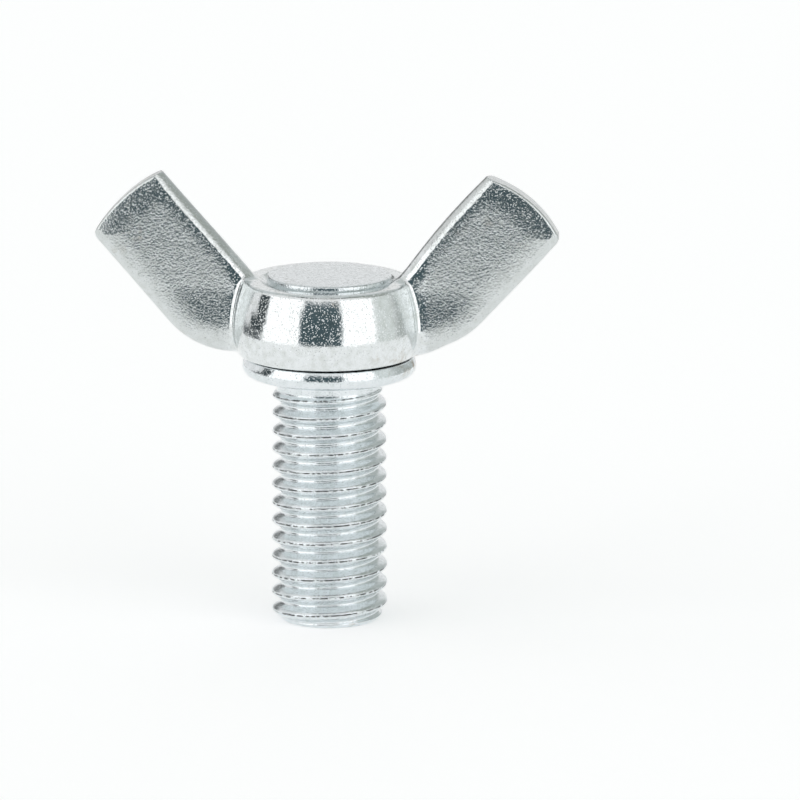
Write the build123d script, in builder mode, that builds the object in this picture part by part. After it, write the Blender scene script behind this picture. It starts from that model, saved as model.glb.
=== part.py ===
from build123d import *
from build123d.topology.shape_core import SkipClean
import os
from math import radians, tan

# Wing bolt with an M8 thread, in two pieces: a forged wing head, and a threaded stud whose
# splined shank is pressed up through the head and riveted over on top.
# Origin: centre of the collar's underside, the face that bears on the work.
# +Z points up to the wings, the thread runs down along -Z and the wings spread along X.

# Thread, M8 x 1.25, right-hand. Heights are of the thread's own features.
PITCH = 1.25
MAJOR_RADIUS = 3.95
ROOT_RADIUS = 3.27
ROOT_FLAT = 0.2
FLANK_ANGLE = 30
THREAD_TIP = -17.1
POINT_CHAMFER = 0.7
GROOVE_TURNS = 13
GROOVE_FOOT = -17.565
GROOVE_OVERSHOOT = 0.15
CREST_SECTORS = 24

# Neck between the thread and the collar
NECK_RADIUS = 3.55
NECK_FOOT = -1.0
NECK_FILLET = 0.5
SHOULDER_CHAMFER = 0.3

# Collar, the flange that bears on the work
COLLAR_RADIUS = 5.94
COLLAR_TOP = 1.4
COLLAR_FOOT_ROUND = 0.6
COLLAR_TOP_ROUND = 0.2

# Shank inside the head: a spline of square points, and the riveted end
SHANK_RADIUS = 3.35
SPLINE_TIP_RADIUS = 3.65
SPLINE_SQUARES = 6
SPLINE_FOOT = 2.0
SPLINE_TOP = 5.4
RIVET_RADIUS = 4.18
RIVET_CONE_FOOT = 5.7
RIVET_CONE_TOP = 6.4
RIVET_TOP = 6.9
RIVET_ROUND = 0.1

# Hub of the wing head
HUB_FOOT_RADIUS = 6.0
HUB_FOOT_BULGE = (6.31, 2.2)
HUB_WAIST = (6.4, 3.2)
HUB_SIDE_BULGE = (6.2, 5.0)
HUB_RIM_RADIUS = 5.75
HUB_TOP = 6.6
HUB_RIM_ROUND = 0.3
RIM_GROOVE_RADIUS = 4.6

# Outline of the +X wing, as X and Z
WING_ROOT = 4.6
WING_NOTCH = (5.55, 7.45)
WING_CREST = (11.0, 13.97)
WING_TIP_BULGE = (13.9, 12.28)
WING_TIP_END = (15.72, 9.88)
WING_CORNER = (15.79, 9.34)
WING_LOWER_END = (15.61, 8.84)
WING_BELLY_TOP = (10.9, 3.5)
WING_BELLY_FOOT = (6.4, 1.44)

# Thickness of a wing, as half of it at the root and at the tip, and its rounded long edges
WING_ROOT_HALF = 1.1
WING_TIP_HALF = 0.85
WING_REACH = 16.5
WING_EDGE_ROUND = 0.72

os.makedirs("parts", exist_ok=True)


def splined_shank():
    """The shank above the collar, with its spline and its riveted end."""
    with BuildPart() as shank:
        with BuildSketch(Plane.XZ):
            with BuildLine():
                Polyline(
                    (0, COLLAR_TOP),
                    (SHANK_RADIUS, COLLAR_TOP),
                    (SHANK_RADIUS, RIVET_CONE_FOOT),
                    (RIVET_RADIUS, RIVET_CONE_TOP),
                    (RIVET_RADIUS, RIVET_TOP),
                    (0, RIVET_TOP),
                    close=True,
                )
            make_face()
        revolve(axis=Axis.Z)
        rivet_rim = shank.edges().filter_by(GeomType.CIRCLE).sort_by(Axis.Z)[-1]
        fillet(rivet_rim, RIVET_ROUND)
        with BuildSketch(Plane.XY.offset(SPLINE_FOOT)):
            for square in range(SPLINE_SQUARES):
                RegularPolygon(SPLINE_TIP_RADIUS, 4, rotation=square * 90 / SPLINE_SQUARES)
        extrude(amount=SPLINE_TOP - SPLINE_FOOT)
    return shank.part


def wing():
    """The wing on the +X side, down to its root inside the hub."""
    with BuildPart() as blade:
        with BuildSketch(Plane.XZ):
            with BuildLine():
                Line(WING_NOTCH, WING_CREST)
                ThreePointArc(WING_CREST, WING_TIP_BULGE, WING_TIP_END)
                ThreePointArc(WING_TIP_END, WING_CORNER, WING_LOWER_END)
                lower_edge = Line(WING_LOWER_END, WING_BELLY_TOP)
                TangentArc(WING_BELLY_TOP, WING_BELLY_FOOT, tangent=lower_edge % 1)
                Polyline(
                    WING_BELLY_FOOT,
                    (WING_ROOT, WING_BELLY_FOOT[1]),
                    (WING_ROOT, HUB_TOP - HUB_RIM_ROUND),
                    WING_NOTCH,
                )
            make_face()
        extrude(amount=WING_ROOT_HALF * 2, both=True)
        # Seen from above the blade tapers towards its tip.
        with BuildSketch(Plane.XY):
            with BuildLine():
                Polyline(
                    (WING_ROOT, -WING_ROOT_HALF),
                    (WING_REACH, -WING_TIP_HALF),
                    (WING_REACH, WING_TIP_HALF),
                    (WING_ROOT, WING_ROOT_HALF),
                    close=True,
                )
            make_face()
        extrude(amount=WING_CREST[1] + 1, mode=Mode.INTERSECT)
        # The inner edge, the lower edge and the belly are rounded on both flanks.
        flanks = blade.faces().sort_by(Axis.Y)
        outline = flanks[0].edges() + flanks[-1].edges()
        clear_of_root = outline.filter_by_position(Axis.X, WING_NOTCH[0], WING_TIP_BULGE[0])
        fillet(clear_of_root.filter_by_position(Axis.Z, 0, WING_TIP_BULGE[1] - 1), WING_EDGE_ROUND)
    return blade.part


def groove_cutter(foot, turns):
    """Solid of the thread's groove, from its centre height at +X, over some turns."""
    depth = MAJOR_RADIUS + GROOVE_OVERSHOOT - ROOT_RADIUS
    half_root = ROOT_FLAT / 2
    half_mouth = half_root + depth * tan(radians(FLANK_ANGLE))
    section = Plane(origin=(ROOT_RADIUS, 0, foot), x_dir=(1, 0, 0), z_dir=(0, -1, 0))
    with BuildPart() as cutter:
        with BuildLine() as path:
            Helix(PITCH, PITCH * turns, ROOT_RADIUS, center=(0, 0, foot))
        with BuildSketch(section):
            with BuildLine():
                Polyline(
                    (0, -half_root),
                    (depth, -half_mouth),
                    (depth, half_mouth),
                    (0, half_root),
                    close=True,
                )
            make_face()
        sweep(path=path.line, is_frenet=True)
    return cutter.part


# Wing head: a hub with two wings, and the seat that the shank is riveted into

with BuildPart() as wing_head:
    with BuildSketch(Plane.XZ):
        with BuildLine():
            Polyline((HUB_RIM_RADIUS, HUB_TOP), (0, HUB_TOP), (0, COLLAR_TOP), (HUB_FOOT_RADIUS, COLLAR_TOP))
            ThreePointArc((HUB_FOOT_RADIUS, COLLAR_TOP), HUB_FOOT_BULGE, HUB_WAIST)
            ThreePointArc(HUB_WAIST, HUB_SIDE_BULGE, (HUB_RIM_RADIUS, HUB_TOP))
        make_face()
    revolve(axis=Axis.Z)
    hub_rim = wing_head.edges().filter_by(GeomType.CIRCLE).sort_by(Axis.Z)[-1]
    fillet(hub_rim, HUB_RIM_ROUND)
    right_wing = wing()
    add([right_wing, right_wing.mirror(Plane.YZ)])
    # A shallow groove rings the riveted end.
    with BuildSketch(Plane.XY.offset(RIVET_CONE_TOP)):
        Circle(RIM_GROOVE_RADIUS)
    extrude(amount=HUB_TOP, mode=Mode.SUBTRACT)
    add(splined_shank(), mode=Mode.SUBTRACT)

# Threaded stud: the thread, its neck and collar, and the shank
# The thread's blank has a wall of equal sectors, and they stay apart as separate faces, so
# that each turn of the crest is a row of short cylinder faces.

sector_angle = 360 / CREST_SECTORS
thread_foot = THREAD_TIP + POINT_CHAMFER
thread_top = NECK_FOOT - SHOULDER_CHAMFER
crest_arcs = [
    Edge.make_circle(MAJOR_RADIUS, Plane.XY.offset(thread_foot), start, start + sector_angle)
    for start in (sector * sector_angle for sector in range(CREST_SECTORS))
]
thread_section = Face(Wire(crest_arcs))
shank_piece = splined_shank()

with SkipClean(), BuildPart() as threaded_stud:
    extrude(thread_section, amount=thread_top - thread_foot, dir=(0, 0, 1), clean=False)
    with BuildSketch(Plane.XZ) as point_section:
        with BuildLine():
            Polyline(
                (0, thread_foot),
                (0, THREAD_TIP),
                (MAJOR_RADIUS - POINT_CHAMFER, THREAD_TIP),
                (MAJOR_RADIUS, thread_foot),
                close=True,
            )
        make_face()
    with BuildSketch(Plane.XZ) as collar_section:
        with BuildLine():
            Polyline(
                (0, thread_top),
                (MAJOR_RADIUS, thread_top),
                (NECK_RADIUS, NECK_FOOT),
                (NECK_RADIUS, 0),
                (COLLAR_RADIUS, 0),
                (COLLAR_RADIUS, COLLAR_TOP),
                (0, COLLAR_TOP),
                close=True,
            )
        make_face()
        fillet(vertices().sort_by_distance((COLLAR_RADIUS, 0, 0))[0], COLLAR_FOOT_ROUND)
        fillet(vertices().sort_by_distance((COLLAR_RADIUS, COLLAR_TOP, 0))[0], COLLAR_TOP_ROUND)
        fillet(vertices().sort_by_distance((NECK_RADIUS, 0, 0))[0], NECK_FILLET)
    revolve(axis=Axis.Z, clean=False)
    add(shank_piece, clean=False)
    # One cutter a turn, and half a turn that runs the groove out into the neck.
    for turn in range(GROOVE_TURNS):
        add(groove_cutter(GROOVE_FOOT + turn * PITCH, 1), mode=Mode.SUBTRACT, clean=False)
    add(groove_cutter(GROOVE_FOOT + GROOVE_TURNS * PITCH, 0.5), mode=Mode.SUBTRACT, clean=False)

wing_head.part.label = "wing_head"
threaded_stud.part.label = "threaded_stud"
export_step(wing_head.part, "parts/wing_head.step")
export_step(threaded_stud.part, "parts/threaded_stud.step")
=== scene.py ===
"""Zinc-plated wing bolt: the looks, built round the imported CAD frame.

The riveted wing head and the threaded stud are rebuilt as detailed meshes in place of
the two CAD nodes. Shapes are worked out in millimetres and put into the mesh in metres.
Azimuths are in degrees from the front (-Y) towards +X, elevations above the horizon.
"""
import itertools
import math

import bmesh
import bpy
import numpy as np
from mathutils import Matrix, Vector


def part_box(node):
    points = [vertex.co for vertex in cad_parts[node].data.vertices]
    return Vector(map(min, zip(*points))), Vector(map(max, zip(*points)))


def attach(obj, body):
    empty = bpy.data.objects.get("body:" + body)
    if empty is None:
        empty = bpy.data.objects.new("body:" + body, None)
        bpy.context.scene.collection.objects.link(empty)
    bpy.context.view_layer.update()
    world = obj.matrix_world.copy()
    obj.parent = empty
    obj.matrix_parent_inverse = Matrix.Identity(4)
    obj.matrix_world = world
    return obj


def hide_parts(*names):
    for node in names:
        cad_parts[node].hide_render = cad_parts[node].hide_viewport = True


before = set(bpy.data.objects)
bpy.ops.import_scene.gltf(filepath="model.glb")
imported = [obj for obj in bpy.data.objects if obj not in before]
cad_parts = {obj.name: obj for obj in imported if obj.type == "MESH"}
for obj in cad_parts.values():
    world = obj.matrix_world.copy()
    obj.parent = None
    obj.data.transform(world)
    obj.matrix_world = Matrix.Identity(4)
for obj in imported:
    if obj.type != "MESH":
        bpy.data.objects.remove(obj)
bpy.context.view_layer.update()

MM = 0.001

# ---------------------------------------------------------------- measures, in mm
STUD_LOW, STUD_HIGH = (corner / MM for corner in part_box("threaded_stud"))
THREAD_TIP = STUD_LOW.z
COLLAR_RADIUS = STUD_HIGH.x

PITCH = 1.25
CREST_PHASE = -2.06
CREST_RADIUS_TOP = 3.88
CREST_RADIUS_FOOT = 3.97
ROOT_RADIUS = 3.35
CREST_HALF = 0.15
FLANK_SLOPE = 1.732
CREST_BLEND = 0.26
ROOT_BLEND = 0.24
SEAM_DEPTH = 0.018
SEAM_HALF = 0.05
NECK_RADIUS = 3.62
NECK_FILLET = 0.45
NECK_TOP = -NECK_FILLET
NECK_FADE = (-1.5, -0.8)
POINT_RADIUS = 3.25
POINT_BLEND = 0.12

COLLAR_FOOT_ROUND = 0.6
COLLAR_TOP_ROUND = 0.11
COLLAR_TOP = 1.4

RIVET_RADIUS = 4.25
RIVET_FOOT = 6.45
RIVET_SHOULDER = 6.80
RIVET_TOP = 6.98
RIVET_EDGE_ROUND = 0.13
SHANK_RADIUS = 3.35
SHANK_TOP = 5.7

HUB_WAIST_RADIUS = 6.4
HUB_WAIST = 3.2
HUB_FOOT = 1.43
HUB_TOP = 6.6
HUB_LOWER_CURVE = 0.123
HUB_UPPER_CURVE = 0.0673
HUB_UPPER_POWER = 1.853
HUB_RIM_ROUND = 0.28
HUB_FOOT_ROUND = 0.14
BORE_RADIUS = 3.6
COUNTERSINK_FOOT = 5.75
COUNTERSINK_DEPTH = 0.9
COUNTERSINK_SLOPE = 1.2

HEAD_SHIFT = -0.15
NOTCH = (5.55, 7.45)
INNER_NORMAL = (-0.767, 0.641)
CREST_POINT = (11.0, 13.97)
TIP_BULGE = (13.9, 12.28)
TIP_END = (15.72, 9.88)
TIP_CORNER_ROUND = 0.45
LOWER_END = (15.61, 8.84)
LOWER_NORMAL = (0.750, -0.661)
BELLY_TOP = (10.9, 3.5)
BELLY_CENTRE = (6.32, 7.53)
BELLY_RADIUS = 6.1
ROOT_HALF = 1.1
TIP_HALF = 0.85
WING_ROOT = 4.6
WING_REACH = 15.8
WING_STARTS_X = 3.0
NOSE_WIDTH = 0.8
NOSE_CREASE = 1.02
TIP_THINNING = 0.18
TIP_BAND = 2.0
INNER_THINNING = 0.14
INNER_BAND = 1.5
SWELL = 0.16
SWELL_X = 8.2
SWELL_WIDTH = 2.6
SWELL_TOP = 6.2
SWELL_FOOT = 2.8
DIFFERENCE_X = (9.0, 15.0)
LEFT_LIFT = 0.08
LEFT_FLATTER = 0.16
RIGHT_LONGER = 0.22
LEFT_NARROWER = 0.28
RIGHT_WIDER = 0.12
RIGHT_BOW = 0.15
RIGHT_SLIMMER = 0.45
SLIMMER_X = (6.0, 8.5)
EDGE_ROUND = 0.16
FILLET = 0.42
GRID_STEP = 0.104
GRID_LOW = (-16.4, -6.85, 1.1)
GRID_HIGH = (16.3, 6.85, 14.5)
SLOPE_STEP = 0.004
LEAST_SLOPE_SQUARED = 0.25
LONGEST_SHIFT = 0.05
PULLS_TO_SURFACE = 3


# ---------------------------------------------------------------- small helpers
def add_object(name, vertices, faces, normals=None):
    """A new smooth-shaded mesh object, from points in mm."""
    mesh = bpy.data.meshes.new(name)
    mesh.from_pydata((np.asarray(vertices) * MM).tolist(), [], faces)
    mesh.polygons.foreach_set("use_smooth", [True] * len(mesh.polygons))
    mesh.update()
    if normals is not None:
        mesh.normals_split_custom_set_from_vertices(normals.tolist())
    thing = bpy.data.objects.new(name, mesh)
    bpy.context.scene.collection.objects.link(thing)
    return thing


def step_up(value, low, high):
    """0 below low, 1 above high, smooth between."""
    t = np.clip((value - low) / (high - low), 0.0, 1.0)
    return t * t * (3.0 - 2.0 * t)


def smooth_min(a, b, width):
    """The lower of a and b, blended where they are within width of each other."""
    t = np.clip(0.5 + 0.5 * (b - a) / width, 0.0, 1.0)
    return b + (a - b) * t - width * t * (1.0 - t)


def smooth_max(a, b, width):
    return -smooth_min(-a, -b, width)


def round_max(a, b, radius):
    """The higher of a and b, with their shared edge rounded to that radius."""
    corner = np.hypot(np.maximum(a + radius, 0.0), np.maximum(b + radius, 0.0))
    return np.minimum(np.maximum(a, b), -radius) + corner


# ---------------------------------------------------------------- threaded stud
AROUND = 192
ROWS_PER_PITCH = 26
END_FACE_RINGS = (0.0, 0.9, 1.8, 2.7)
MERGE_GAP = 0.001


def thread_radius(angle, z):
    """Radius of the rolled thread, which runs out into the neck under the collar."""
    turn = (z - CREST_PHASE) / PITCH - angle / (2.0 * math.pi)
    from_crest = np.abs(turn - np.round(turn)) * PITCH
    down = np.clip(z / THREAD_TIP, 0.0, 1.0)
    crest = CREST_RADIUS_TOP + (CREST_RADIUS_FOOT - CREST_RADIUS_TOP) * down
    flank = crest - FLANK_SLOPE * (from_crest - CREST_HALF)
    radius = smooth_min(crest, flank, CREST_BLEND)
    radius = smooth_max(ROOT_RADIUS, radius, ROOT_BLEND)
    radius = radius - SEAM_DEPTH * np.clip(1.0 - from_crest / SEAM_HALF, 0.0, 1.0)
    fade = step_up(z, *NECK_FADE)
    radius = radius * (1.0 - fade) + NECK_RADIUS * fade
    return smooth_min(radius, POINT_RADIUS + (z - THREAD_TIP), POINT_BLEND)


def arc_points(centre, radius, start, end, count):
    """Points along an arc, as (radius, height) pairs; the angles are in degrees."""
    angles = np.radians(np.linspace(start, end, count))
    return [(centre[0] + radius * math.cos(a), centre[1] + radius * math.sin(a)) for a in angles]


def upper_profile():
    """The stud above its neck, as (radius, height) pairs in mm: collar, shank, then rivet."""
    edge = COLLAR_RADIUS
    disc_edge = RIVET_RADIUS - RIVET_EDGE_ROUND
    points = arc_points((NECK_RADIUS + NECK_FILLET, NECK_TOP), NECK_FILLET, 180.0, 90.0, 8)
    points += [(4.6, 0.0), (edge - 0.62, 0.0)]
    foot_centre = (edge - COLLAR_FOOT_ROUND, COLLAR_FOOT_ROUND)
    points += arc_points(foot_centre, COLLAR_FOOT_ROUND, -82.0, 0.0, 12)
    points += [(edge, 0.74), (edge - 0.012, 0.86), (edge - 0.04, 1.0), (edge - 0.075, 1.1)]
    points += arc_points((edge - 0.22, 1.2), COLLAR_TOP_ROUND, 20.0, 90.0, 6)
    points += [(5.1, 1.31), (4.9, 1.395), (4.2, COLLAR_TOP)]
    points += [(SHANK_RADIUS, COLLAR_TOP), (SHANK_RADIUS, SHANK_TOP)]
    points += arc_points((disc_edge, RIVET_FOOT), RIVET_EDGE_ROUND, -60.0, 0.0, 4)
    points += arc_points((disc_edge, RIVET_SHOULDER), RIVET_EDGE_ROUND, 0.0, 86.0, 7)
    points += [(3.9, 6.945), (3.4, 6.955), (2.7, 6.965), (1.9, 6.973), (1.1, 6.978)]
    points += [(0.0, RIVET_TOP)]
    return points


def stud_mesh():
    """Rows that follow the helix on the thread, then level rings, merged into one skin."""
    angles = np.linspace(0.0, 2.0 * math.pi, AROUND + 1)
    rows = []
    for radius in END_FACE_RINGS:
        rows.append((np.full_like(angles, radius), np.full_like(angles, THREAD_TIP)))
    foot = THREAD_TIP - PITCH
    helix_rows = int(math.ceil((NECK_TOP - foot) / PITCH * ROWS_PER_PITCH)) + 1
    for row in range(helix_rows):
        z = foot + row * PITCH / ROWS_PER_PITCH + PITCH * angles / (2.0 * math.pi)
        z = np.clip(z, THREAD_TIP, NECK_TOP)
        rows.append((thread_radius(angles, z), z))
    for radius, height in upper_profile():
        rows.append((np.full_like(angles, radius), np.full_like(angles, height)))
    cosine, sine = np.cos(angles), np.sin(angles)
    points = np.array([np.column_stack([r * cosine, r * sine, z]) for r, z in rows])
    columns = AROUND + 1
    row_index, column_index = np.meshgrid(np.arange(len(rows) - 1), np.arange(AROUND), indexing="ij")
    low = (row_index * columns + column_index).ravel()
    faces = np.column_stack([low, low + 1, low + columns + 1, low + columns])
    return points.reshape(-1, 3), faces.tolist()


def merge_points(thing, gap):
    """Joins points closer than gap, in metres, and drops the faces that this empties."""
    shape = bmesh.new()
    shape.from_mesh(thing.data)
    bmesh.ops.remove_doubles(shape, verts=shape.verts, dist=gap)
    bmesh.ops.dissolve_degenerate(shape, edges=shape.edges, dist=gap)
    bmesh.ops.recalc_face_normals(shape, faces=shape.faces)
    shape.to_mesh(thing.data)
    shape.free()


stud = add_object("threaded_stud_detailed", *stud_mesh())
merge_points(stud, MERGE_GAP * MM)


# ---------------------------------------------------------------- wing head
def circle_through(a, b, c):
    """Centre and radius of the circle through three points."""
    rows = np.array([[2.0 * p[0], 2.0 * p[1], 1.0] for p in (a, b, c)])
    squares = np.array([p[0] ** 2 + p[1] ** 2 for p in (a, b, c)])
    x, z, rest = np.linalg.solve(rows, squares)
    return x, z, math.sqrt(rest + x * x + z * z)


TIP_CIRCLE = circle_through(CREST_POINT, TIP_BULGE, TIP_END)


def hub_field(x, y, z):
    """Signed distance, nearly, from the hub: a waisted turning with a small rim round."""
    radius = np.hypot(x, y)
    above = np.maximum(z - HUB_WAIST, 0.0)
    below = np.maximum(HUB_WAIST - z, 0.0)
    side = HUB_WAIST_RADIUS - HUB_UPPER_CURVE * above ** HUB_UPPER_POWER
    side = side - HUB_LOWER_CURVE * below**2
    field = round_max(radius - side, z - HUB_TOP, HUB_RIM_ROUND)
    return round_max(field, HUB_FOOT - z, HUB_FOOT_ROUND)


def wing_field(x, y, z):
    """Signed distance, nearly, from the two wings, which differ a little, as forgings do."""
    left = x < 0.0
    x = np.abs(x)
    reach = step_up(x, *DIFFERENCE_X)
    x = x - np.where(left, 0.0, RIGHT_LONGER) * reach
    z = z - np.where(left, LEFT_LIFT, 0.0) * reach
    inner = (x - NOTCH[0]) * INNER_NORMAL[0] + (z - NOTCH[1]) * INNER_NORMAL[1]
    up = np.clip((z - NOTCH[1]) / (CREST_POINT[1] - NOTCH[1]), 0.0, 1.0)
    wider = RIGHT_WIDER + RIGHT_BOW * np.sin(math.pi * up)
    inner = inner + np.where(left, LEFT_NARROWER * up, -wider)
    tip = np.hypot(x - TIP_CIRCLE[0], z - TIP_CIRCLE[1]) - TIP_CIRCLE[2]
    along_tip = np.clip((z - TIP_END[1]) / (CREST_POINT[1] - TIP_END[1]), 0.0, 1.0)
    tip = tip + np.where(left, LEFT_FLATTER * np.sin(math.pi * along_tip), 0.0)
    line = (x - LOWER_END[0]) * LOWER_NORMAL[0] + (z - LOWER_END[1]) * LOWER_NORMAL[1]
    belly = np.hypot(x - BELLY_CENTRE[0], z - BELLY_CENTRE[1]) - BELLY_RADIUS
    along = (z - BELLY_TOP[1]) * LOWER_NORMAL[0] - (x - BELLY_TOP[0]) * LOWER_NORMAL[1]
    lower = np.where(along > 0.0, line, belly)
    lower = lower + np.where(left, 0.0, RIGHT_SLIMMER * step_up(x, *SLIMMER_X))
    wall = round_max(tip, lower, TIP_CORNER_ROUND)
    out = np.clip((x - WING_ROOT) / (WING_REACH - WING_ROOT), 0.0, 1.0)
    half = ROOT_HALF + (TIP_HALF - ROOT_HALF) * out
    thinning = TIP_THINNING * step_up(-inner, 0.0, INNER_BAND)
    half = half - thinning * np.clip(1.0 + wall / TIP_BAND, 0.0, 1.0) ** 2
    half = half - INNER_THINNING * np.clip(1.0 + inner / INNER_BAND, 0.0, 1.0) ** 2
    swell = np.exp(-(((x - SWELL_X) / SWELL_WIDTH) ** 2)) * step_up(-z, -SWELL_TOP, -SWELL_FOOT)
    half = half + SWELL * swell
    across = np.abs(y)
    field = round_max(across - half, wall, EDGE_ROUND)
    for edge in (inner, lower):
        reached = np.maximum(edge / NOSE_WIDTH + 1.0, 0.0)
        nose = NOSE_WIDTH * (np.hypot(reached, across / (half * NOSE_CREASE)) - 1.0)
        field = np.maximum(field, np.where(reached > 0.0, nose, -1.0))
    return np.maximum(field, WING_STARTS_X - x)


def head_field(x, y, z):
    """Signed distance, nearly, from the whole wing head."""
    x = x - HEAD_SHIFT
    body = smooth_min(hub_field(x, y, z), wing_field(x, y, z), FILLET)
    bore = BORE_RADIUS + np.clip(z - COUNTERSINK_FOOT, 0.0, COUNTERSINK_DEPTH) * COUNTERSINK_SLOPE
    body = np.maximum(body, HUB_FOOT - z)
    return np.maximum(body, bore - np.hypot(x, y))


def head_slope(points):
    """The field and its gradient at each point."""
    here = head_field(*points.T)
    slope = np.empty_like(points)
    for axis in range(3):
        offset = np.zeros(3)
        offset[axis] = SLOPE_STEP
        ahead = head_field(*(points + offset).T)
        behind = head_field(*(points - offset).T)
        slope[:, axis] = (ahead - behind) / (2.0 * SLOPE_STEP)
    return here, slope


def surface_net(field, low, step):
    """Quads over the zero surface of a sampled field: one point for each cell it crosses."""
    inside = field < 0.0
    cells = tuple(n - 1 for n in field.shape)
    corners = list(itertools.product((0, 1), repeat=3))

    def corner_view(grid, offset):
        return grid[tuple(slice(o, o + n) for o, n in zip(offset, cells))]

    count = sum(corner_view(inside, offset).astype(np.int8) for offset in corners)
    crossed = (count > 0) & (count < 8)
    where = np.argwhere(crossed)
    index = np.full(cells, -1)
    index[crossed] = np.arange(len(where))
    total = np.zeros((len(where), 3))
    hits = np.zeros(len(where))
    for start, end in itertools.combinations(corners, 2):
        if sum(abs(a - b) for a, b in zip(start, end)) != 1:
            continue
        value_a = corner_view(field, start)[crossed]
        value_b = corner_view(field, end)[crossed]
        cut = (value_a < 0.0) != (value_b < 0.0)
        share = (value_a / np.where(cut, value_a - value_b, 1.0))[:, None]
        point = np.array(start) + share * (np.array(end) - np.array(start))
        total[cut] += point[cut]
        hits[cut] += 1
    points = low + step * (where + total / hits[:, None])
    quads = []
    for axis in range(3):
        beside, further = [a for a in range(3) if a != axis]
        first = [slice(1, -1)] * 3
        second = [slice(1, -1)] * 3
        first[axis] = slice(0, -1)
        second[axis] = slice(1, None)
        a, b = inside[tuple(first)], inside[tuple(second)]
        for solid_first in (True, False):
            edge = (a & ~b) if solid_first else (b & ~a)
            cell = np.argwhere(edge)
            cell[:, beside] += 1
            cell[:, further] += 1
            around = []
            for step_beside, step_further in ((0, 0), (1, 0), (1, 1), (0, 1)):
                neighbour = cell.copy()
                neighbour[:, beside] -= step_beside
                neighbour[:, further] -= step_further
                around.append(index[tuple(neighbour.T)])
            if solid_first == (axis == 1):
                around.reverse()
            quads.append(np.column_stack(around))
    return points, np.concatenate(quads)


def head_mesh():
    """The wing head as quads with its exact surface normals."""
    low = np.array(GRID_LOW)
    axes = [np.arange(a, b, GRID_STEP) for a, b in zip(GRID_LOW, GRID_HIGH)]
    grid = np.meshgrid(*axes, indexing="ij")
    points, quads = surface_net(head_field(*grid), low, GRID_STEP)
    for _ in range(PULLS_TO_SURFACE):
        value, slope = head_slope(points)
        size = np.maximum(np.sum(slope**2, axis=1), LEAST_SLOPE_SQUARED)
        shift = slope * np.clip(value / size, -LONGEST_SHIFT, LONGEST_SHIFT)[:, None]
        points = points - shift
    _, slope = head_slope(points)
    normals = slope / np.linalg.norm(slope, axis=1)[:, None]
    return points, quads.tolist(), normals


head = add_object("wing_head_detailed", *head_mesh())


# ---------------------------------------------------------------- node helpers
def link_or_set(tree, socket, value):
    if isinstance(value, bpy.types.NodeSocket):
        tree.links.new(value, socket)
    else:
        socket.default_value = value


def maths(tree, operation, *values):
    node = tree.nodes.new("ShaderNodeMath")
    node.operation = operation
    for socket, value in zip(node.inputs, values):
        link_or_set(tree, socket, value)
    return node.outputs[0]


def ramp(tree, value, low, high, start=0.0, end=1.0):
    """Smoothly from start, where value is low, to end, where it is high."""
    node = tree.nodes.new("ShaderNodeMapRange")
    node.interpolation_type = "SMOOTHSTEP"
    link_or_set(tree, node.inputs["Value"], value)
    node.inputs["From Min"].default_value = low
    node.inputs["From Max"].default_value = high
    node.inputs["To Min"].default_value = start
    node.inputs["To Max"].default_value = end
    return node.outputs["Result"]


def mix(tree, factor, a, b):
    node = tree.nodes.new("ShaderNodeMix")
    node.data_type = "RGBA"
    link_or_set(tree, node.inputs[0], factor)
    link_or_set(tree, node.inputs[6], a)
    link_or_set(tree, node.inputs[7], b)
    return node.outputs[2]


def noise(tree, vector, scale, detail=2.0, roughness=0.5):
    node = tree.nodes.new("ShaderNodeTexNoise")
    tree.links.new(vector, node.inputs["Vector"])
    node.inputs["Scale"].default_value = scale
    node.inputs["Detail"].default_value = detail
    node.inputs["Roughness"].default_value = roughness
    return node.outputs["Fac"]


def bump(tree, height, distance, normal=None, strength=1.0):
    node = tree.nodes.new("ShaderNodeBump")
    node.inputs["Distance"].default_value = distance
    link_or_set(tree, node.inputs["Strength"], strength)
    tree.links.new(height, node.inputs["Height"])
    if normal is not None:
        tree.links.new(normal, node.inputs["Normal"])
    return node.outputs["Normal"]


# ---------------------------------------------------------------- zinc plating
STAIN = (0.50, 0.44, 0.37, 1.0)
SPECK = (0.42, 0.44, 0.44, 1.0)
WING_DULL = (0.56, 0.59, 0.58, 1.0)
# near-black painted shade, for the crevice between collar and hub and the crease of the torn thread
# seam
PAINTED_SHADE_BLACK = (0.03, 0.03, 0.03, 1.0)

# each pair is where a mask starts and ends; lengths are in mm, the rest are noise values
WING_MASK_RADIUS = (6.5, 7.3)
WING_DULLING = 0.5
ROUGHER = 0.09
THREAD_MASK_HEIGHT = (-0.9, -0.4)
CREST_MASK_RADIUS = (3.55, 3.75)
SEAM_FROM_CREST = (0.012, 0.05)
# how far the torn seam is painted towards near-black shade
SEAM_SHADE_STRENGTH = 0.95
TORN_NOISE = (0.43, 0.55)
FLANK_FROM_CREST = (0.26, 0.38)
# where shade is painted into the crevice between the collar and the hub's foot
GAP_HEIGHT_LOW = (1.26, 1.34)
GAP_HEIGHT_HIGH = (2.0, 2.2)
GAP_RADIUS_OUTER = (5.3, 5.75)
GAP_RADIUS_INNER = (3.7, 4.0)
RIVET_MASK_HEIGHT = (6.7, 6.9)
RIVET_GRAIN_HEIGHT = (6.4, 6.7)
HAMMERED_NOISE = (0.42, 0.66)


def places(tree):
    """Where a shaded point is: its position, distance from the axis, height and angle, in mm."""
    scaled = tree.nodes.new("ShaderNodeVectorMath")
    scaled.operation = "SCALE"
    tree.links.new(tree.nodes.new("ShaderNodeTexCoord").outputs["Object"], scaled.inputs[0])
    scaled.inputs["Scale"].default_value = 1.0 / MM
    place = scaled.outputs["Vector"]
    split = tree.nodes.new("ShaderNodeSeparateXYZ")
    tree.links.new(place, split.inputs[0])
    x, y, z = split.outputs
    squares = maths(tree, "ADD", maths(tree, "MULTIPLY", x, x), maths(tree, "MULTIPLY", y, y))
    return place, maths(tree, "SQRT", squares), z, maths(tree, "ARCTAN2", y, x)


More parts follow.
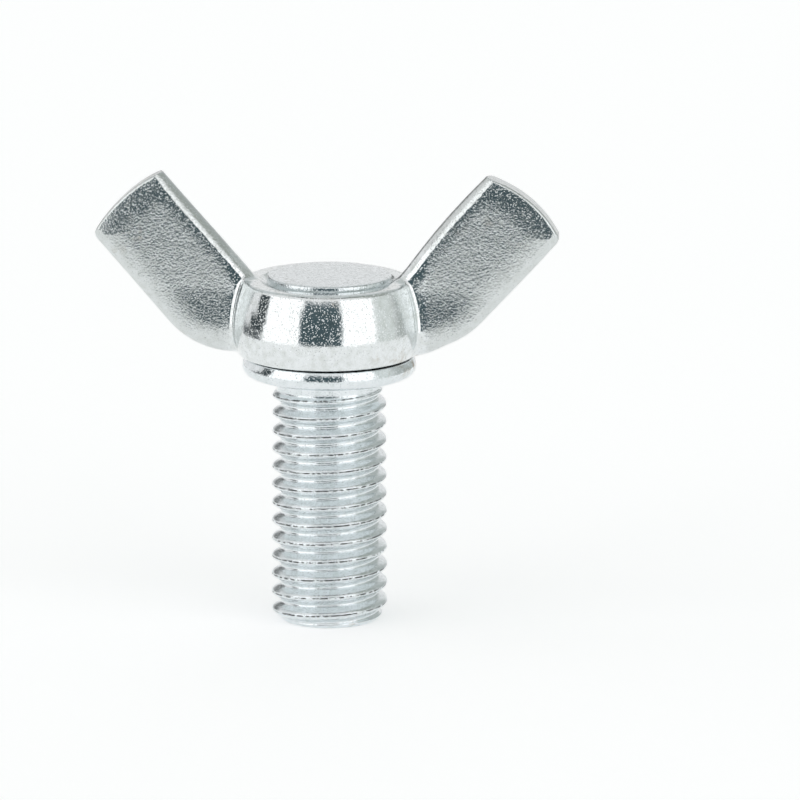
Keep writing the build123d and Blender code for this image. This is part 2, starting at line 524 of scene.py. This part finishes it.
def zinc(name, clean, dull):
    """A zinc-plated metal; returns it with its tree, shader and the places on it."""
    material = bpy.data.materials.new(name)
    material.use_nodes = True
    tree = material.node_tree
    shader = tree.nodes["Principled BSDF"]
    place, radius, height, angle = places(tree)
    broad = noise(tree, place, 0.26, 2.0)
    cloud = noise(tree, place, 1.9, 3.0, 0.6)
    colour = mix(tree, ramp(tree, cloud, 0.35, 0.75), (*clean, 1.0), (*dull, 1.0))
    specks = ramp(tree, noise(tree, place, 8.0, 3.0, 0.7), 0.56, 0.74, 0.0, 0.4)
    colour = mix(tree, specks, colour, SPECK)
    stained = maths(tree, "MULTIPLY", ramp(tree, broad, 0.62, 0.80), ramp(tree, cloud, 0.45, 0.62))
    colour = mix(tree, stained, colour, STAIN)
    shader.inputs["Metallic"].default_value = 1.0
    return material, tree, shader, (place, radius, height, angle), cloud, colour


def speckled(tree, place, normal, coarse, fine, strength):
    """Adds isolated pits and pimples over a soft grain to a surface normal."""
    grain = noise(tree, place, 6.5, 2.0, 0.55)
    spots = ramp(tree, noise(tree, place, 9.0, 1.0), 0.59, 0.76)
    normal = bump(tree, grain, coarse * MM, normal, strength)
    return bump(tree, spots, fine * MM, normal)


def head_zinc():
    """The forged head: its wings are grainy, and its turned hub is bright and nearly smooth."""
    material, tree, shader, spots, cloud, colour = zinc(
        "zinc_plated_head", (0.81, 0.84, 0.85), (0.69, 0.72, 0.71)
    )
    place, radius, _, _ = spots
    wing = ramp(tree, radius, *WING_MASK_RADIUS)
    colour = mix(tree, maths(tree, "MULTIPLY", wing, WING_DULLING), colour, WING_DULL)
    tree.links.new(colour, shader.inputs["Base Color"])
    dullness = ramp(tree, cloud, 0.3, 0.75, 0.06, 0.13)
    dullness = maths(tree, "ADD", dullness, maths(tree, "MULTIPLY", wing, ROUGHER))
    tree.links.new(dullness, shader.inputs["Roughness"])
    normal = bump(tree, noise(tree, place, 0.7, 2.0), 0.010 * MM)
    strength = ramp(tree, wing, 0.0, 1.0, 0.2, 1.0)
    normal = speckled(tree, place, normal, 0.020, 0.014, strength)
    tree.links.new(normal, shader.inputs["Normal"])
    return material


def stud_zinc():
    """The stud: bright collar and rivet, and a rolled thread that is duller, with a torn seam; shade
    is painted near-black into the seam's crease and into the crevice between collar and hub.
    """
    material, tree, shader, spots, cloud, colour = zinc(
        "zinc_plated_stud", (0.80, 0.84, 0.86), (0.71, 0.76, 0.77)
    )
    place, radius, height, angle = spots
    thread = ramp(tree, height, *THREAD_MASK_HEIGHT, 1.0, 0.0)
    turn = maths(tree, "DIVIDE", maths(tree, "SUBTRACT", height, CREST_PHASE), PITCH)
    turn = maths(tree, "SUBTRACT", turn, maths(tree, "DIVIDE", angle, 2.0 * math.pi))
    from_crest = maths(tree, "ABSOLUTE", maths(tree, "SUBTRACT", turn, maths(tree, "ROUND", turn)))
    # the torn crest seam: a real groove, bumped in below, and painted near-black as shade in its
    # crease
    torn = ramp(tree, noise(tree, place, 2.6, 4.0, 0.7), *TORN_NOISE)
    seam = maths(tree, "MULTIPLY", ramp(tree, from_crest, *SEAM_FROM_CREST, 1.0, 0.0), torn)
    on_crest = maths(tree, "MULTIPLY", thread, ramp(tree, radius, *CREST_MASK_RADIUS))
    seam = maths(tree, "MULTIPLY", seam, on_crest)
    flank = maths(tree, "MULTIPLY", thread, ramp(tree, from_crest, *FLANK_FROM_CREST, 1.0, 0.0))
    # painted shade: the collar's top face in the crevice under the hub's foot is painted near-black,
    # as shade between the parts
    above_foot = ramp(tree, height, *GAP_HEIGHT_LOW)
    gap = maths(tree, "MULTIPLY", above_foot, ramp(tree, radius, *GAP_RADIUS_OUTER, 1.0, 0.0))
    gap = maths(tree, "MULTIPLY", gap, ramp(tree, radius, *GAP_RADIUS_INNER))
    gap = maths(tree, "MULTIPLY", gap, ramp(tree, height, *GAP_HEIGHT_HIGH, 1.0, 0.0))
    riveted = ramp(tree, height, *RIVET_MASK_HEIGHT, 0.0, 0.5)
    dents = ramp(tree, noise(tree, place, 5.0, 3.0, 0.7), *HAMMERED_NOISE)
    hammered = maths(tree, "MULTIPLY", dents, riveted)
    colour = mix(tree, hammered, colour, SPECK)
    # the seam and gap masks paint near-black shade into the colour
    painted_shade_mask = maths(tree, "MAXIMUM", maths(tree, "MULTIPLY", seam, SEAM_SHADE_STRENGTH), gap)
    colour = mix(tree, painted_shade_mask, colour, PAINTED_SHADE_BLACK)
    tree.links.new(colour, shader.inputs["Base Color"])
    dullness = ramp(tree, cloud, 0.3, 0.75, 0.07, 0.14)
    dullness = maths(tree, "ADD", dullness, maths(tree, "MULTIPLY", flank, ROUGHER))
    tree.links.new(dullness, shader.inputs["Roughness"])
    normal = bump(tree, noise(tree, place, 0.7, 2.0), 0.010 * MM)
    normal = bump(tree, seam, 0.05 * MM, normal)
    strength = ramp(tree, height, *RIVET_GRAIN_HEIGHT, 0.3, 1.0)
    normal = speckled(tree, place, normal, 0.026, 0.014, strength)
    tree.links.new(normal, shader.inputs["Normal"])
    return material


head.data.materials.append(head_zinc())
stud.data.materials.append(stud_zinc())

for piece, node, slot in (
    (head, "wing_head", "zinc_plated_head"),
    (stud, "threaded_stud", "zinc_plated_stud"),
):
    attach(piece, "root")
    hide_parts(node)


# ---------------------------------------------------------------- floor
FLOOR_LEVEL = THREAD_TIP * MM
SHEET_RADIUS = 0.116
FLOOR_RADIUS = 3.0
FLOOR_BELOW_SHEET = 0.05
DISC_CORNERS = 96
PAPER_GREY = 0.93
PAPER_GLOW = 0.31


def disc(name, radius, height):
    """A flat round stage piece, in metres."""
    angles = np.linspace(0.0, 2.0 * math.pi, DISC_CORNERS + 1)[:-1]
    ring = [(radius * math.cos(a), radius * math.sin(a), height) for a in angles]
    mesh = bpy.data.meshes.new(name)
    mesh.from_pydata(ring, [], [list(range(len(ring)))])
    thing = bpy.data.objects.new(name, mesh)
    bpy.context.scene.collection.objects.link(thing)
    return thing


paper = bpy.data.materials.new("pale_paper")
paper.use_nodes = True
paper_shader = paper.node_tree.nodes["Principled BSDF"]
paper_shader.inputs["Base Color"].default_value = (PAPER_GREY, PAPER_GREY, PAPER_GREY, 1.0)
paper_shader.inputs["Roughness"].default_value = 0.9
paper_shader.inputs["Specular IOR Level"].default_value = 0.0
paper_shader.inputs["Emission Color"].default_value = (1.0, 1.0, 1.0, 1.0)
paper_shader.inputs["Emission Strength"].default_value = PAPER_GLOW

sheet = disc("sheet_under_object", SHEET_RADIUS, FLOOR_LEVEL)
floor = disc("floor", FLOOR_RADIUS, FLOOR_LEVEL - FLOOR_BELOW_SHEET * MM)
sheet.data.materials.append(paper)
floor.data.materials.append(paper)
floor.visible_glossy = False
floor.visible_diffuse = False


# ---------------------------------------------------------------- studio light
DISPLAY_GAMMA = 2.2


def linear(shown):
    """Scene light for a brightness as it is shown, from 0 to 1."""
    return shown**DISPLAY_GAMMA


def studio(cards, open_air, seen):
    """The world: soft boxes and dark gaps round the object, and a plain pale backdrop."""
    world = bpy.data.worlds.new("studio")
    world.use_nodes = True
    bpy.context.scene.world = world
    tree = world.node_tree
    tree.nodes.clear()
    direction = tree.nodes.new("ShaderNodeTexCoord").outputs["Generated"]
    split = tree.nodes.new("ShaderNodeSeparateXYZ")
    tree.links.new(direction, split.inputs[0])
    x, y, z = split.outputs
    front = maths(tree, "MULTIPLY", y, -1.0)
    azimuth = maths(tree, "DEGREES", maths(tree, "ARCTAN2", x, front))
    elevation = maths(tree, "DEGREES", maths(tree, "ARCSINE", z))
    colour = (*[linear(open_air)] * 3, 1.0)
    for left, right, low, high, shown, soft in cards:
        centre, half = (left + right) / 2.0, (right - left) / 2.0
        off = maths(tree, "SUBTRACT", azimuth, centre)
        off = maths(tree, "ABSOLUTE", maths(tree, "WRAP", off, 180.0, -180.0))
        across = ramp(tree, off, half - soft, half + soft, 1.0, 0.0)
        above = ramp(tree, elevation, low - soft, low + soft)
        below = ramp(tree, elevation, high - soft, high + soft, 1.0, 0.0)
        inside = maths(tree, "MULTIPLY", maths(tree, "MULTIPLY", across, above), below)
        colour = mix(tree, inside, colour, (*[linear(c) for c in shown], 1.0))
    lit = tree.nodes.new("ShaderNodeBackground")
    link_or_set(tree, lit.inputs["Color"], colour)
    plain = tree.nodes.new("ShaderNodeBackground")
    plain.inputs["Color"].default_value = (*[linear(seen)] * 3, 1.0)
    either = tree.nodes.new("ShaderNodeMixShader")
    path = tree.nodes.new("ShaderNodeLightPath")
    tree.links.new(path.outputs["Is Camera Ray"], either.inputs[0])
    tree.links.new(lit.outputs[0], either.inputs[1])
    tree.links.new(plain.outputs[0], either.inputs[2])
    output = tree.nodes.new("ShaderNodeOutputWorld")
    tree.links.new(either.outputs[0], output.inputs["Surface"])


# left, right, low and high edge in degrees; colour as shown; softness of the edges
CARDS = [
    (95, 250, 32, 91, (0.80, 0.82, 0.82), 8),
    (75, 140, 30, 75, (0.64, 0.66, 0.64), 8),
    (-82, 68, 24, 60, (0.98, 0.98, 0.98), 6),
    (-110, 95, 66, 78, (0.45, 0.46, 0.46), 3),
    (-80, -27, -30, 32, (1.18, 1.18, 1.18), 2),
    (25, 70, -30, 32, (1.18, 1.18, 1.18), 2),
    (-28, 25, -91, 17, (0.30, 0.36, 0.38), 2),
    (-24, 22, 13, 23, (0.32, 0.38, 0.40), 2.5),
    (-118, -84, -20, -5, (0.36, 0.38, 0.39), 3),
    (-104, -80, -6, 2, (0.26, 0.29, 0.30), 2.5),
    (-94, -76, 0, 22, (0.26, 0.29, 0.30), 2.5),
    (-164, -130, 6, 24, (0.44, 0.45, 0.45), 5),
    (70, 100, -30, 30, (0.88, 0.90, 0.89), 4),
    (100, 158, -30, 42, (0.72, 0.74, 0.73), 6),
]
studio(CARDS, open_air=0.95, seen=1.0)


# ---------------------------------------------------------------- camera
CAMERA_AZIMUTH = math.radians(6.0)
CAMERA_ELEVATION = math.radians(12.65)
CAMERA_DISTANCE = 0.981
AIM_RIGHT = 4.826 * MM
AIM_UP = -1.809 * MM
LENS = 646.7

right = Vector((math.cos(CAMERA_AZIMUTH), math.sin(CAMERA_AZIMUTH), 0.0))
back = Vector(
    (
        math.sin(CAMERA_AZIMUTH) * math.cos(CAMERA_ELEVATION),
        -math.cos(CAMERA_AZIMUTH) * math.cos(CAMERA_ELEVATION),
        math.sin(CAMERA_ELEVATION),
    )
)
up = back.cross(right)
camera_data = bpy.data.cameras.new("camera")
camera_data.lens = LENS
camera_data.sensor_width = 36.0
camera_data.clip_start = 0.1
camera_data.clip_end = 10.0
camera = bpy.data.objects.new("camera", camera_data)
bpy.context.scene.collection.objects.link(camera)
camera_place = right * AIM_RIGHT + up * AIM_UP + back * CAMERA_DISTANCE
camera_turn = Matrix((right, up, back)).transposed().to_4x4()
camera.matrix_world = Matrix.Translation(camera_place) @ camera_turn
bpy.context.scene.camera = camera
bpy.context.scene.view_settings.view_transform = "Standard"
